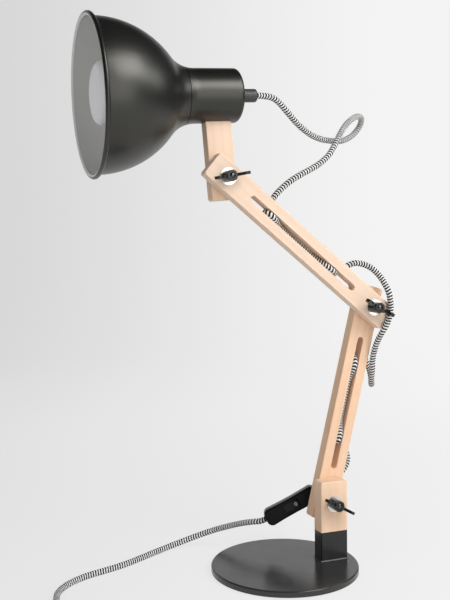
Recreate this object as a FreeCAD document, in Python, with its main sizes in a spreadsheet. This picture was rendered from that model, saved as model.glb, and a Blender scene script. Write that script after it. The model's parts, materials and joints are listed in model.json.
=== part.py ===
import FreeCAD, Part
import math
import os
import re
import Sketcher

# Wooden swing-arm desk lamp: a steel foot with a square sleeve, a wooden post, two slotted
# planks and a short stick, all clamped with wing nuts, and a spun steel shade on a drawn cup.
# Millimetres. Z is up, the table is z = 0 and the foot's axis is x = y = 0. The planks swing in
# the XZ plane and the light looks towards -X.

V = FreeCAD.Vector

# Driving dimensions, in millimetres and degrees. Each is one row of the sheet, under its own alias.
SIZES = {
    # foot
    "disc_radius": 80.0,
    "disc_thick": 6.3,
    "disc_edge": 1.5,
    "pad_thick": 1.0,
    "pad_inset": 3.0,
    # post and its steel sleeve
    "post_offset": 54.1,
    "post_width": 32.0,
    "post_depth": 17.4,
    "sleeve_rise": 31.9,
    "sleeve_wall": 1.5,
    "sleeve_corner": 1.2,
    "weld_leg": 1.0,
    "post_rise": 55.3,
    "post_corner": 3.0,
    "tenon_rise": 26.0,
    "tenon_fit": 0.1,
    "screw_level": 17.5,
    "tenon_screw_length": 7.3,
    "pivot_height": 70.0,
    # planks
    "joint_face": 3.8,
    "plank_thick": 14.0,
    "plank_width": 29.0,
    "plank_gap": 0.5,
    "lower_span": 219.7,
    "upper_span": 221.2,
    "lower_overhang_low": 22.0,
    "lower_overhang_high": 23.5,
    "upper_overhang": 21.9,
    "stick_overhang": 23.5,
    "stick_horn": 4.0,
    "end_corner": 3.0,
    "wood_edge": 1.0,
    "slot_width": 7.3,
    "slot_run_lower": 143.0,
    "slot_run_upper": 149.0,
    "lower_lean": 13.88,
    "upper_rise": 39.40,
    "stick_lean": 4.5,
    "stick_width": 28.5,
    "stick_reach": 85.4,
    # clamp hardware
    "bolt_radius": 3.0,
    "bolt_head_radius": 8.0,
    "bolt_head_rise": 3.4,
    "bolt_brim": 0.6,
    "bolt_square": 6.4,
    "bolt_square_rise": 3.4,
    "bolt_tip": 0.6,
    "pin_fit": 0.05,
    "washer_radius": 9.0,
    "washer_thick": 1.5,
    "washer_play": 0.2,
    "liner_radius": 9.0,
    "nut_hub_radius": 5.9,
    "nut_rise": 11.5,
    "wing_reach": 19.3,
    "wing_thick": 3.0,
    "wing_top": 15.2,
    "nut_turn_base": -29.0,
    "nut_turn_elbow": -29.0,
    "nut_turn_head": 10.0,
    # cup and shade
    "neck_droop": 3.4,
    "neck_set": 25.95,
    "neck_radius": 28.1,
    "cup_wall": 1.2,
    "cup_round": 4.5,
    "cup_crown": 1.0,
    "cup_lip": 11.4,
    "seam_gap": 0.7,
    "shade_length": 159.6,
    "shade_wall": 1.0,
    "flare_radius": 37.0,
    "dome_radius": 99.0,
    "dome_peak": 76.9,
    "dome_end": 153.0,
    "rim_wire": 2.4,
    "spigot_length": 9.0,
    "seat_gap": 0.05,
    "lip_run": 1.6,
    # lamp holder and bulb, measured along the neck from the cup's back
    "nipple_radius": 4.9,
    "nipple_bore": 3.7,
    "nipple_grip": 5.0,
    "thread_play": 0.1,
    "lock_nut_radius": 8.1,
    "lock_nut_thick": 2.9,
    "gland_radius": 7.0,
    "gland_length": 21.5,
    "gland_round": 2.0,
    "holder_start": 28.0,
    "holder_end": 82.0,
    "holder_radius": 19.5,
    "holder_collar": 12.1,
    "holder_waist": 16.3,
    "holder_step": 15.0,
    "holder_floor": 7.0,
    "holder_edge": 1.5,
    "contact_radius": 4.0,
    "contact_rise": 1.8,
    "holder_tilt": 1.6,
    "cap_radius": 13.2,
    "cap_length": 25.0,
    "cap_recess": 2.8,
    "cap_skin": 1.0,
    "cap_button": 4.2,
    "cap_insulator": 8.5,
    "button_rise": 1.8,
    "shell_play": 0.4,
    "shell_wall": 0.4,
    "bulb_length": 103.0,
    "bulb_radius": 32.0,
    "bulb_crown": 95.0,
    "bulb_knuckle": 9.0,
    "throat_step": 1.4,
    "throat_run": 13.2,
    "bulb_wall": 0.9,
    "wood_screw_radius": 2.0,
    "wood_screw_length": 30.0,
    "screw_head_radius": 3.8,
    "screw_head_rise": 2.0,
    "screw_clear": 0.8,
    # mains lead, inline switch and plug
    "cord_radius": 3.3,
    "switch_length": 66.0,
    "switch_width": 20.4,
    "switch_waist": 1.15,
    "switch_thick": 17.0,
    "switch_wall": 1.8,
    "switch_corner": 6.5,
    "switch_edge": 2.2,
    "switch_end_wall": 7.2,
    "tie_setback": 5.2,
    "tie_radius": 1.3,
    "axle_radius": 0.9,
    "axle_drop": 2.4,
    "rocker_length": 18.0,
    "rocker_width": 8.6,
    "rocker_fit": 0.3,
    "rocker_throw": 9.0,
    "rocker_crown": 2.1,
    "rocker_side": 2.6,
    "rocker_keel": 4.2,
    "recess_length": 25.0,
    "recess_width": 13.0,
    "recess_depth": 1.2,
    "coil_radius": 36.0,
    "coil_layers": 3,
    "coil_stub": 24.0,
    "coil_slack": 0.12,
    "plug_width": 35.3,
    "plug_thick": 13.7,
    "plug_length": 36.0,
    "plug_nose": 14.1,
    "plug_taper": 16.2,
    "plug_edge": 1.9,
    "relief_length": 18.0,
    "relief_tip": 1.2,
    "relief_root": 2.6,
    "pin_radius": 2.0,
    "pin_length": 19.0,
    "pin_pitch": 19.0,
}
# Outline of one ear of a wing nut, as shares of its reach and of its height above the seat.
EAR_ROOT = 0.21
EAR_HEEL = (0.46, 0.11)
EAR_CHIN = (0.95, 0.56)
EAR_CREST = (0.82, 0.70)
# Keeps a half-round end a hair over its chord, where the sketch solver can hold it.
HALF_ROUND = 0.0001

doc = FreeCAD.newDocument("desk_lamp")
sheet = doc.addObject("Spreadsheet::Sheet", "Sizes")
for row, (name, value) in enumerate(SIZES.items(), 1):
    sheet.set("A%d" % row, name)
    sheet.set("B%d" % row, str(value))
    sheet.setAlias("B%d" % row, name)
doc.recompute()


def bind(text):
    """The same expression with each size's name written as its cell."""
    return re.sub(r"[a-z_]+", lambda m: "Sizes." + m.group(0) if m.group(0) in SIZES else m.group(0), text)


def val(text):
    return float(sheet.evalExpression(bind(str(text))))


# ---------------------------------------------------------------- building blocks


def body(label):
    item = doc.addObject("PartDesign::Body", label)
    item.Label = label
    return item


def sketch(owner, role="XY_Plane", lift=None):
    """An empty sketch on one of the body's own planes, lifted along its normal."""
    item = owner.newObject("Sketcher::SketchObject", owner.Label + "_sketch")
    base = [f for f in owner.Origin.OriginFeatures if f.Role == role][0]
    item.AttachmentSupport = [(base, "")]
    item.MapMode = "FlatFace"
    if lift is not None:
        item.setExpression("AttachmentOffset.Base.z", bind(lift))
    return item


def pin_point(sk, geo, pos, u, v):
    """Holds one point of the sketch at (u, v), both expressions."""
    for kind, text in (("DistanceX", u), ("DistanceY", v)):
        number = sk.addConstraint(Sketcher.Constraint(kind, -1, 1, geo, pos, val(text)))
        sk.setExpression("Constraints[%d]" % number, bind(str(text)))


def circle(sk, u, v, radius):
    geo = sk.addGeometry(Part.Circle(V(val(u), val(v), 0), V(0, 0, 1), val(radius)), False)
    pin_point(sk, geo, 3, u, v)
    number = sk.addConstraint(Sketcher.Constraint("Radius", geo, val(radius)))
    sk.setExpression("Constraints[%d]" % number, bind(str(radius)))


def outline(sk, points):
    """Closed outline through (u, v) points. A third item makes the side that ends at the point an
    arc of that radius, bulging to the right of its way if positive and to the left if negative."""
    spots = [V(val(p[0]), val(p[1]), 0) for p in points]
    sides = []
    for i, point in enumerate(points):
        start = spots[i - 1]
        end = spots[i]
        if len(point) == 2:
            sides.append(sk.addGeometry(Part.LineSegment(start, end), False))
            continue
        radius = abs(val(point[2]))
        way = (end - start).normalize()
        left = V(-way.y, way.x, 0)
        sign = 1.0 if val(point[2]) > 0 else -1.0
        half = (end - start).Length / 2
        rise = math.sqrt(radius * radius - half * half)
        middle = (start + end) * 0.5
        centre = middle + left * (sign * rise)
        top = centre - left * (sign * radius)
        sides.append(sk.addGeometry(Part.Arc(start, top, end), False))
    for i, point in enumerate(points):
        end_pos = 2
        if len(point) == 3 and val(point[2]) < 0:
            end_pos = 1
        pin_point(sk, sides[i], end_pos, point[0], point[1])
    for i, point in enumerate(points):
        follower = points[(i + 1) % len(points)]
        end_pos = 1 if len(point) == 3 and val(point[2]) < 0 else 2
        start_pos = 2 if len(follower) == 3 and val(follower[2]) < 0 else 1
        other = sides[(i + 1) % len(points)]
        sk.addConstraint(Sketcher.Constraint("Coincident", sides[i], end_pos, other, start_pos))
        if len(point) == 3:
            number = sk.addConstraint(Sketcher.Constraint("Radius", sides[i], abs(val(point[2]))))
            sk.setExpression("Constraints[%d]" % number, "abs(%s)" % bind(str(point[2])))


def rectangle(sk, u, v, width, depth):
    """Rectangle centred on (u, v)."""
    a = "(%s) - (%s) / 2" % (u, width)
    b = "(%s) + (%s) / 2" % (u, width)
    c = "(%s) - (%s) / 2" % (v, depth)
    d = "(%s) + (%s) / 2" % (v, depth)
    outline(sk, [(a, c), (b, c), (b, d), (a, d)])


def stadium(sk, u, v, run, width):
    """Long hole centred on (u, v), run from arc centre to arc centre."""
    a = "(%s) - (%s) / 2" % (u, run)
    b = "(%s) + (%s) / 2" % (u, run)
    c = "(%s) - (%s) / 2" % (v, width)
    d = "(%s) + (%s) / 2" % (v, width)
    bow = "(%s) / 2 + %s" % (width, HALF_ROUND)
    outline(sk, [(b, c), (b, d, bow), (a, d), (a, c, bow)])


def feature(owner, kind, sk, **settings):
    item = owner.newObject("PartDesign::" + kind, owner.Label + "_" + kind.lower())
    item.Profile = sk
    for key, value in settings.items():
        if isinstance(value, str):
            item.setExpression(key, bind(value))
        else:
            setattr(item, key, value)
    sk.Visibility = False
    return item


def pad(owner, sk, length, **settings):
    return feature(owner, "Pad", sk, Length=length, **settings)


def pocket(owner, sk, length, **settings):
    """Cuts and makes sure that it took material away."""
    doc.recompute()
    before = owner.Shape.Volume
    item = feature(owner, "Pocket", sk, Length=length, **settings)
    doc.recompute()
    if not owner.Shape.Volume < before - 0.01:
        raise RuntimeError("nothing was cut by " + item.Name)
    return item


def turn(owner, sk, axis):
    return feature(owner, "Revolution", sk, ReferenceAxis=(sk, [axis]), Angle=360.0)


def soften(owner, pick, radius, kind="Fillet"):
    """Rounds or bevels the edges whose middle point passes the test."""
    doc.recompute()
    base = owner.Tip
    found = []
    for i, edge in enumerate(base.Shape.Edges):
        middle = edge.valueAt((edge.FirstParameter + edge.LastParameter) / 2)
        if pick(middle, edge):
            found.append("Edge%d" % (i + 1))
    if not found:
        raise RuntimeError("no edge found on " + owner.Label)
    item = owner.newObject("PartDesign::" + kind, owner.Label + "_" + kind.lower())
    item.Base = (base, found)
    item.setExpression("Radius" if kind == "Fillet" else "Size", bind(radius))
    doc.recompute()
    return item


def near(a, b):
    return abs(a - b) < 0.01


# ---------------------------------------------------------------- where things sit


def heading(degrees):
    """Unit vector in the XZ plane, counted from +X towards +Z."""
    return V(math.cos(math.radians(degrees)), 0, math.sin(math.radians(degrees)))


def laid(origin, degrees):
    """Local X runs along the heading, local Z towards -Y, with the origin on the back face."""
    along = heading(degrees)
    across = heading(degrees + 90)
    return FreeCAD.Placement(origin, FreeCAD.Rotation(along, across, V(0, -1, 0), "ZXY"))


front_back = val("joint_face")
rear_front = front_back + val("plank_gap")
rear_back = rear_front + val("plank_thick")
disc_top = val("pad_thick + disc_thick")
sleeve_top = disc_top + val("sleeve_rise")
post_centre = V(val("post_offset"), front_back - val("post_depth") / 2, 0)
base_pivot = V(val("post_offset"), 0, val("pivot_height"))
elbow_pivot = base_pivot + heading(90 - val("lower_lean")) * val("lower_span")
head_pivot = elbow_pivot + heading(180 - val("upper_rise")) * val("upper_span")
stick_way = 90 + val("stick_lean")
neck_way = 180 + val("neck_droop")
neck_cross = head_pivot + heading(stick_way) * val("stick_reach")
neck_back = neck_cross - heading(neck_way) * val("neck_set")
neck_back.y = rear_front + val("plank_thick") / 2


def at_depth(point, depth):
    return V(point.x, depth, point.z)


# ---------------------------------------------------------------- foot

pad_disc = doc.addObject("Part::Cylinder", "base_pad")
pad_disc.setExpression("Radius", bind("disc_radius - pad_inset"))
pad_disc.setExpression("Height", bind("pad_thick"))

disc = body("base_disc")
sk = sketch(disc, lift="pad_thick")
circle(sk, 0, 0, "disc_radius")
pad(disc, sk, "disc_thick")
soften(disc, lambda p, e: near(p.z, disc_top), "disc_edge")

# ---------------------------------------------------------------- sleeve and post

sleeve = body("base_sleeve")
sk = sketch(sleeve)
rectangle(sk, 0, 0, "post_width + 2 * weld_leg", "post_depth + 2 * weld_leg")
pad(sleeve, sk, "weld_leg")
soften(sleeve, lambda p, e: near(p.z, val("weld_leg")), "weld_leg * 0.95", "Chamfer")
sk = sketch(sleeve)
rectangle(sk, 0, 0, "post_width", "post_depth")
pad(sleeve, sk, "sleeve_rise")
half_width = val("post_width") / 2
half_depth = val("post_depth") / 2
soften(sleeve, lambda p, e: near(abs(p.x), half_width) and near(abs(p.y), half_depth) and p.z > 5,
       "sleeve_corner")
sk = sketch(sleeve, lift="sleeve_rise")
rectangle(sk, 0, 0, "post_width - 2 * sleeve_wall", "post_depth - 2 * sleeve_wall")
pocket(sleeve, sk, "sleeve_rise")
sk = sketch(sleeve, "XZ_Plane")
for side in (-1, 1):
    circle(sk, "%d * post_width / 4" % side, "screw_level", "wood_screw_radius + pin_fit")
pocket(sleeve, sk, "post_depth")
sleeve.Placement = FreeCAD.Placement(post_centre + V(0, 0, disc_top), FreeCAD.Rotation())

post = body("post")
sk = sketch(post)
rectangle(sk, 0, 0, "post_width", "post_depth")
pad(post, sk, "post_rise")
soften(post, lambda p, e: near(abs(p.x), half_width) and near(p.z, val("post_rise")), "post_corner")
soften(post, lambda p, e: near(abs(p.y), half_depth) and p.z > 1, "wood_edge")
sk = sketch(post)
tenon_cut = "2 * (sleeve_wall + tenon_fit)"
rectangle(sk, 0, 0, "post_width - %s" % tenon_cut, "post_depth - %s" % tenon_cut)
pad(post, sk, "tenon_rise", Reversed=True)
sk = sketch(post, "XZ_Plane")
circle(sk, 0, "pivot_height - pad_thick - disc_thick - sleeve_rise", "bolt_radius + pin_fit")
pocket(post, sk, "post_depth + 2", Midplane=True)
sk = sketch(post, "XZ_Plane")
for side in (-1, 1):
    circle(sk, "%d * post_width / 4" % side, "screw_level - sleeve_rise", "wood_screw_radius + pin_fit")
pocket(post, sk, "post_depth")
post.Placement = FreeCAD.Placement(post_centre + V(0, 0, sleeve_top), FreeCAD.Rotation())

# two short pan-head screws hold the tenon from the back of the sleeve
screws = []
for side in (-1, 1):
    head = doc.addObject("Part::Cylinder", "sleeve_screw_head")
    head.setExpression("Radius", bind("screw_head_radius"))
    head.setExpression("Height", bind("screw_head_rise"))
    shank = doc.addObject("Part::Cylinder", "sleeve_screw_shank")
    shank.setExpression("Radius", bind("wood_screw_radius"))
    shank.setExpression("Height", bind("tenon_screw_length"))
    spot = V(post_centre.x + side * val("post_width") / 4, front_back, disc_top + val("screw_level"))
    head.Placement = FreeCAD.Placement(spot, FreeCAD.Rotation(V(1, 0, 0), -90))
    shank.Placement = FreeCAD.Placement(spot, FreeCAD.Rotation(V(1, 0, 0), 90))
    pair = doc.addObject("Part::MultiFuse", "sleeve_screw")
    pair.Shapes = [head, shank]
    screws.append(pair)
sleeve_screws = doc.addObject("Part::Compound", "sleeve_screws")
sleeve_screws.Links = screws

# ---------------------------------------------------------------- planks


def plank(label, width, low, high, slot=None, slot_middle=None):
    """Board along local X with eased ends. A slot runs down its middle line."""
    item = body(label)
    sk = sketch(item)
    outline(sk, [(low, "-%s / 2" % width), (high, "-%s / 2" % width),
                 (high, "%s / 2" % width), (low, "%s / 2" % width)])
    pad(item, sk, "plank_thick")
    half = val(width) / 2
    soften(item, lambda p, e: near(abs(p.y), half) and near(p.z, val("plank_thick") / 2), "end_corner")
    soften(item, lambda p, e: near(p.z, 0) or near(p.z, val("plank_thick")), "wood_edge")
    if slot:
        sk = sketch(item)
        stadium(sk, slot_middle, 0, slot, "slot_width")
        pocket(item, sk, "plank_thick", Reversed=True)
    return item


def bolt_hole(item, u):
    sk = sketch(item)
    circle(sk, u, 0, "bolt_radius + pin_fit")
    pocket(item, sk, "plank_thick", Reversed=True)


def square_seat(item, u):
    """Square hole at the back that keeps a carriage bolt from turning."""
    bolt_hole(item, u)
    sk = sketch(item)
    rectangle(sk, u, 0, "bolt_square + 2 * pin_fit", "bolt_square + 2 * pin_fit")
    pocket(item, sk, "bolt_square_rise + pin_fit", Reversed=True)


lower_arm = plank("lower_arm", "plank_width", "-lower_overhang_low", "lower_span + lower_overhang_high",
                  "slot_run_lower", "lower_span / 2")
square_seat(lower_arm, "0")
square_seat(lower_arm, "lower_span")
lower_arm.Placement = laid(at_depth(base_pivot, rear_back), 90 - val("lower_lean"))

upper_arm = plank("upper_arm", "plank_width", "-upper_overhang", "upper_span + upper_overhang",
                  "slot_run_upper", "upper_span / 2")
bolt_hole(upper_arm, "0")
bolt_hole(upper_arm, "upper_span")
upper_arm.Placement = laid(at_depth(elbow_pivot, front_back), 180 - val("upper_rise"))

# the stick's top end is hollowed to the round of the neck
stick = plank("head_stick", "stick_width", "-stick_overhang", "stick_reach - neck_radius + stick_horn")
sk = sketch(stick, "XZ_Plane")
circle(sk, "stick_reach", "plank_thick / 2", "neck_radius + seat_gap")
turned = FreeCAD.Rotation(V(0, 1, 0), val("neck_droop - stick_lean"))
sk.AttachmentOffset = FreeCAD.Placement(V(0, 0, 0), turned)
pocket(stick, sk, "stick_width * 2", Midplane=True)
square_seat(stick, "0")
sk = sketch(stick, "YZ_Plane")
circle(sk, 0, "plank_thick / 2", "wood_screw_radius + pin_fit")
sk.setExpression("AttachmentOffset.Base.z", bind("stick_reach - neck_radius - wood_screw_length"))
pocket(stick, sk, "wood_screw_length + 10", Reversed=True)
stick.Placement = laid(at_depth(head_pivot, rear_back), stick_way)

# ---------------------------------------------------------------- clamps


def cap_radius(half, rise):
    """Radius of the sphere whose cap is this wide and this high."""
    return "((%s)^2 + (%s)^2) / (2 * (%s))" % (half, rise, rise)


def carriage_bolt(label, grip):
    """Round-headed bolt: its head seats on local z = 0 and its square sits in the wood."""
    item = body(label)
    end = "(%s) + washer_thick + nut_rise + bolt_tip" % grip
    sk = sketch(item, "XZ_Plane")
    head_cap = cap_radius("bolt_head_radius", "bolt_head_rise - bolt_brim")
    tip_cap = cap_radius("bolt_radius", "bolt_radius * 0.4")
    outline(sk, [(0, "-bolt_head_rise"), ("bolt_head_radius", "-bolt_brim", head_cap),
                 ("bolt_head_radius", 0), ("bolt_radius", 0), ("bolt_radius", end + " - bolt_radius * 0.4"),
                 (0, end, tip_cap)])
    turn(item, sk, "V_Axis")
    sk = sketch(item)
    rectangle(sk, 0, 0, "bolt_square", "bolt_square")
    pad(item, sk, "bolt_square_rise")
    return item


def ring(label, outer, bore, thick, lift):
    item = body(label)
    sk = sketch(item, lift=lift)
    circle(sk, 0, 0, outer)
    circle(sk, 0, 0, bore)
    pad(item, sk, thick)
    return item


def wing_nut(label, lift):
    """Turned hub with two flat ears that flare away from the seat."""
    item = body(label)
    sk = sketch(item, lift=lift)
    circle(sk, 0, 0, "nut_hub_radius")
    pad(item, sk, "nut_rise")
    top = val(lift) + val("nut_rise")
    soften(item, lambda p, e: near(p.z, top), "nut_hub_radius * 0.12")
    sk = sketch(item, "XZ_Plane")
    base = "(%s)" % lift
    root = "wing_reach * %s" % EAR_ROOT
    outline(sk, [(root, base + " + wing_top * 0.06"),
                 ("wing_reach * %s" % EAR_HEEL[0], base + " + wing_top * %s" % EAR_HEEL[1]),
                 ("wing_reach * %s" % EAR_CHIN[0], base + " + wing_top * %s" % EAR_CHIN[1], "wing_reach * -1.3"),
                 ("wing_reach * %s" % EAR_CREST[0], base + " + wing_top", "wing_top * 0.25"),
                 ("wing_reach * %s" % EAR_CREST[1], base + " + wing_top", "wing_top * 0.3"),
                 (root, base + " + nut_rise * 0.86", "wing_reach * -1.2")])
    ear = pad(item, sk, "wing_thick", Midplane=True)
    pattern = item.newObject("PartDesign::PolarPattern", label + "_pair")
    pattern.Originals = [ear]
    axis = [f for f in item.Origin.OriginFeatures if f.Role == "Z_Axis"][0]
    pattern.Axis = (axis, [""])
    pattern.Angle = 360.0
    pattern.Occurrences = 2
    item.Tip = pattern
    doc.recompute()
    sk = sketch(item, lift=lift)
    circle(sk, 0, 0, "bolt_radius + pin_fit")
    pocket(item, sk, "wing_top * 2", Reversed=True)
    return item


# Each bolt's square lies along the rear piece of wood, and each nut stands as it was left.
clamps = (("base", base_pivot, "post_depth", 90 - val("lower_lean"), "nut_turn_base"),
          ("elbow", elbow_pivot, "plank_thick", 90 - val("lower_lean"), "nut_turn_elbow"),
          ("head", head_pivot, "plank_thick", stick_way, "nut_turn_head"))
hardware = []
for name, pivot, front, square_way, nut_turn in clamps:
    face = "plank_thick + plank_gap + " + front
    spot = at_depth(pivot, rear_back)
    bolt = carriage_bolt(name + "_bolt", face)
    bore = "bolt_radius + washer_play"
    liner = ring(name + "_friction_washer", "liner_radius", bore, "plank_gap", "plank_thick")
    washer = ring(name + "_washer", "washer_radius", bore, "washer_thick", face)
    nut = wing_nut(name + "_wing_nut", face + " + washer_thick")
    bolt.Placement = laid(spot, square_way)
    liner.Placement = laid(spot, 0)
    washer.Placement = laid(spot, 0)
    nut.Placement = laid(spot, val(nut_turn))
    hardware += [bolt, liner, washer, nut]

# ---------------------------------------------------------------- cup and shade

# The outside runs straight along the neck, flares out through a hollow arc and closes on the
# dome arc, which is level where it meets the rolled rim. Both arcs share one tangent point.
flare_radius = val("flare_radius")
dome_radius = val("dome_radius")
neck_radius = val("neck_radius")
dome_end = val("dome_end")
dome_low = val("dome_peak") - dome_radius
flare_high = neck_radius + flare_radius
flare_start = dome_end - math.sqrt((dome_radius + flare_radius) ** 2 - (flare_high - dome_low) ** 2)
share = dome_radius / (dome_radius + flare_radius)
meet_s = dome_end + (flare_start - dome_end) * share
meet_r = dome_low + (flare_high - dome_low) * share


def flare_at(s, inset=0.0):
    """Radius of the flare at a distance s from the cup's back, inset for the inner face."""
    reach = flare_radius + inset
    return flare_high - math.sqrt(reach ** 2 - (s - flare_start) ** 2)


def inner_point(point, centre, radius, shift):
    """The point moved radially so that it lies on the arc's parallel."""
    way = (point - centre).normalize()
    return centre + way * (radius + shift)


neck_frame = laid(neck_back, neck_way)

cup = body("lamp_cup")
cup_end = flare_start + val("cup_lip")
wall = val("cup_wall")
hole = val("nipple_radius + thread_play")
round_in = val("cup_round") - wall
crown = val("cup_crown")
flat = neck_radius - val("cup_round")
crown_radius = ((flat - hole) ** 2 + crown ** 2) / (2 * crown)
sk = sketch(cup)
outline(sk, [(0, hole), (crown, flat, -crown_radius),
             (crown + val("cup_round"), neck_radius, "-1 * cup_round"), (flare_start, neck_radius),
             (cup_end, flare_at(cup_end), flare_radius),
             (cup_end, flare_at(cup_end, wall)), (flare_start, neck_radius - wall, -flare_radius - wall),
             (crown + val("cup_round"), neck_radius - wall), (crown + wall, flat, round_in),
             (wall, hole, crown_radius - wall)])
turn(cup, sk, "H_Axis")
# the screw follows the stick, so its hole lies where the stick's middle line meets the wall
screw_s = val("neck_set") - (neck_radius - wall / 2) / math.tan(math.radians(neck_way - stick_way))
sk = sketch(cup, "XZ_Plane")
circle(sk, screw_s, 0, "wood_screw_radius + screw_clear")
pocket(cup, sk, "neck_radius * 1.2")
cup.Placement = neck_frame

shade = body("lamp_shade")
skin = val("shade_wall")
start = cup_end + val("seam_gap")
sleeve_r = neck_radius - wall - val("thread_play")
lip = start + val("lip_run")
rim_s = val("shade_length - rim_wire")
rim_r = val("dome_peak") - skin / 2 + val("rim_wire")
meet = V(meet_s, meet_r, 0)
flare_c = V(flare_start, flare_high, 0)
dome_c = V(dome_end, dome_low, 0)
meet_in = inner_point(meet, dome_c, dome_radius, -skin)
sk = sketch(shade)
outline(sk, [(cup_end - val("spigot_length"), sleeve_r - skin), (cup_end - val("spigot_length"), sleeve_r),
             (start, sleeve_r), (start, flare_at(start)), (meet.x, meet.y, flare_radius),
             (dome_end, val("dome_peak"), -dome_radius),
             (rim_s, val("dome_peak")), (rim_s, val("dome_peak") - skin), (dome_end, val("dome_peak") - skin),
             (meet_in.x, meet_in.y, dome_radius - skin),
             (lip, flare_at(lip, skin), -flare_radius - skin), (lip, sleeve_r - skin)])
turn(shade, sk, "H_Axis")
sk = sketch(shade)
circle(sk, rim_s, rim_r, "rim_wire")
turn(shade, sk, "H_Axis")
shade.Placement = neck_frame

# ---------------------------------------------------------------- lamp holder

gland = body("cord_gland")
sk = sketch(gland)
outline(sk, [("-gland_length", 0), ("-gland_length", "gland_radius - gland_round"),
             ("-gland_length + gland_round", "gland_radius", "-gland_round"), (0, "gland_radius"),
             (0, hole), ("-gland_length / 2", hole), ("-gland_length / 2", 0)])
turn(gland, sk, "H_Axis")
gland.Placement = neck_frame

nipple = body("holder_nipple")
sk = sketch(nipple)
tube_back = "thread_play - gland_length / 2"
tube_front = "holder_start + nipple_grip"
outline(sk, [(tube_back, "nipple_bore"), (tube_back, "nipple_radius"), (tube_front, "nipple_radius"),
             (tube_front, "nipple_bore")])
turn(nipple, sk, "H_Axis")
nipple.Placement = neck_frame

lock_nut = body("nipple_nut")
sk = sketch(lock_nut, "YZ_Plane", "cup_wall + 2 * thread_play")
flats = [(math.cos(math.radians(60 * k)), math.sin(math.radians(60 * k))) for k in range(6)]
outline(sk, [("%.6f * lock_nut_radius" % c, "%.6f * lock_nut_radius" % s) for c, s in flats])
circle(sk, 0, 0, "nipple_radius + thread_play")
pad(lock_nut, sk, "lock_nut_thick")
lock_nut.Placement = neck_frame

# The holder sits a little askew on its nipple, so that the bulb points slightly upwards.
tilt_point = neck_frame.multVec(V(val("holder_start"), 0, 0))
holder_frame = laid(tilt_point, neck_way - val("holder_tilt"))
holder_depth = val("holder_end - holder_start")
cap_end = holder_depth - val("cap_recess")
cap_start = cap_end - val("cap_length")
contact = cap_start - val("button_rise")
tip = contact + val("bulb_length")
seat = contact - val("contact_rise + shell_play")
bore = val("cap_radius + shell_play + shell_wall + thread_play")
nipple_way = "nipple_radius + 4 * thread_play"
edge = val("holder_edge")

holder = body("lamp_holder")
sk = sketch(holder)
outline(sk, [(0, nipple_way), (0, "holder_collar"), (2 * edge, "holder_collar + 2 * holder_edge", -3 * edge),
             ("holder_step", "holder_waist"), ("holder_step + 2 * holder_edge", "holder_radius"),
             (holder_depth - edge, "holder_radius"), (holder_depth, "holder_radius - holder_edge", -1.2 * edge),
             (holder_depth, bore), (seat, bore), (seat, 0), ("holder_floor", 0),
             ("holder_floor", nipple_way)])
turn(holder, sk, "H_Axis")
holder.Placement = holder_frame

shell = body("holder_shell")
sk = sketch(shell)
shell_start = cap_start - val("shell_play")
shell_end = cap_end - val("shell_play")
outline(sk, [(shell_start, "cap_radius + shell_play"), (shell_start, "cap_radius + shell_play + shell_wall"),
             (shell_end, "cap_radius + shell_play + shell_wall"), (shell_end, "cap_radius + shell_play")])
turn(shell, sk, "H_Axis")
shell.Placement = holder_frame

spring = body("holder_contact")
sk = sketch(spring)
contact_end = seat + val("contact_rise")
half_rise = seat + val("contact_rise") / 2
outline(sk, [(seat, 0), (seat, "contact_radius"), (half_rise, "contact_radius"),
             (contact_end, "contact_radius * 0.6", "contact_rise"), (contact_end, 0)])
turn(spring, sk, "H_Axis")
spring.Placement = holder_frame

# ---------------------------------------------------------------- bulb

bulb_cap = body("bulb_cap")
sk = sketch(bulb_cap)
skin = val("cap_skin")
outline(sk, [(contact, 0), (contact, "cap_button"), (cap_start, "cap_insulator"),
             (cap_start + 2 * skin, "cap_radius"), (cap_end, "cap_radius"), (cap_end, "cap_radius - cap_skin"),
             (cap_start + 3 * skin, "cap_radius - cap_skin"), (cap_start + 3 * skin, 0)])
turn(bulb_cap, sk, "H_Axis")
bulb_cap.Placement = holder_frame

# reflector envelope: straight throat, cone, rounded shoulder and a nearly flat crown
throat = val("cap_radius + throat_step")
wide = val("bulb_radius")
knuckle = val("bulb_knuckle")
crown_r = val("bulb_crown")
skin = val("bulb_wall")
sink = crown_r - math.sqrt((crown_r - knuckle) ** 2 - (wide - knuckle) ** 2)
knuckle_c = V(tip - sink, wide - knuckle, 0)
crown_c = V(tip - crown_r, 0, 0)
touch = inner_point(knuckle_c, crown_c, 0.0, crown_r)
touch_in = inner_point(knuckle_c, crown_c, 0.0, crown_r - skin)
cone_end = knuckle_c.x - knuckle / 2
cone_start = holder_depth + val("throat_run")
throat_start = holder_depth + val("throat_run") / 4
inner_slip = skin / 2
collar = throat - 2.9 * skin
bulb = body("bulb_glass")
sk = sketch(bulb)
outline(sk, [(cap_end + 0.1, collar), (cap_end + 2 * skin, throat - 1.6 * skin), (throat_start, throat),
             (cone_start, throat), (cone_end, wide), (knuckle_c.x, wide),
             (touch.x, touch.y, -knuckle), (tip, 0, -crown_r), (tip - skin, 0),
             (touch_in.x, touch_in.y, crown_r - skin), (knuckle_c.x, wide - skin, knuckle - skin),
             (cone_end + inner_slip, wide - skin), (cone_start + inner_slip, throat - skin),
             (throat_start + inner_slip, throat - skin), (cap_end + 0.1, collar - skin)])
turn(bulb, sk, "H_Axis")
bulb.Placement = holder_frame

# ---------------------------------------------------------------- screw from the cup into the stick

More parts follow.
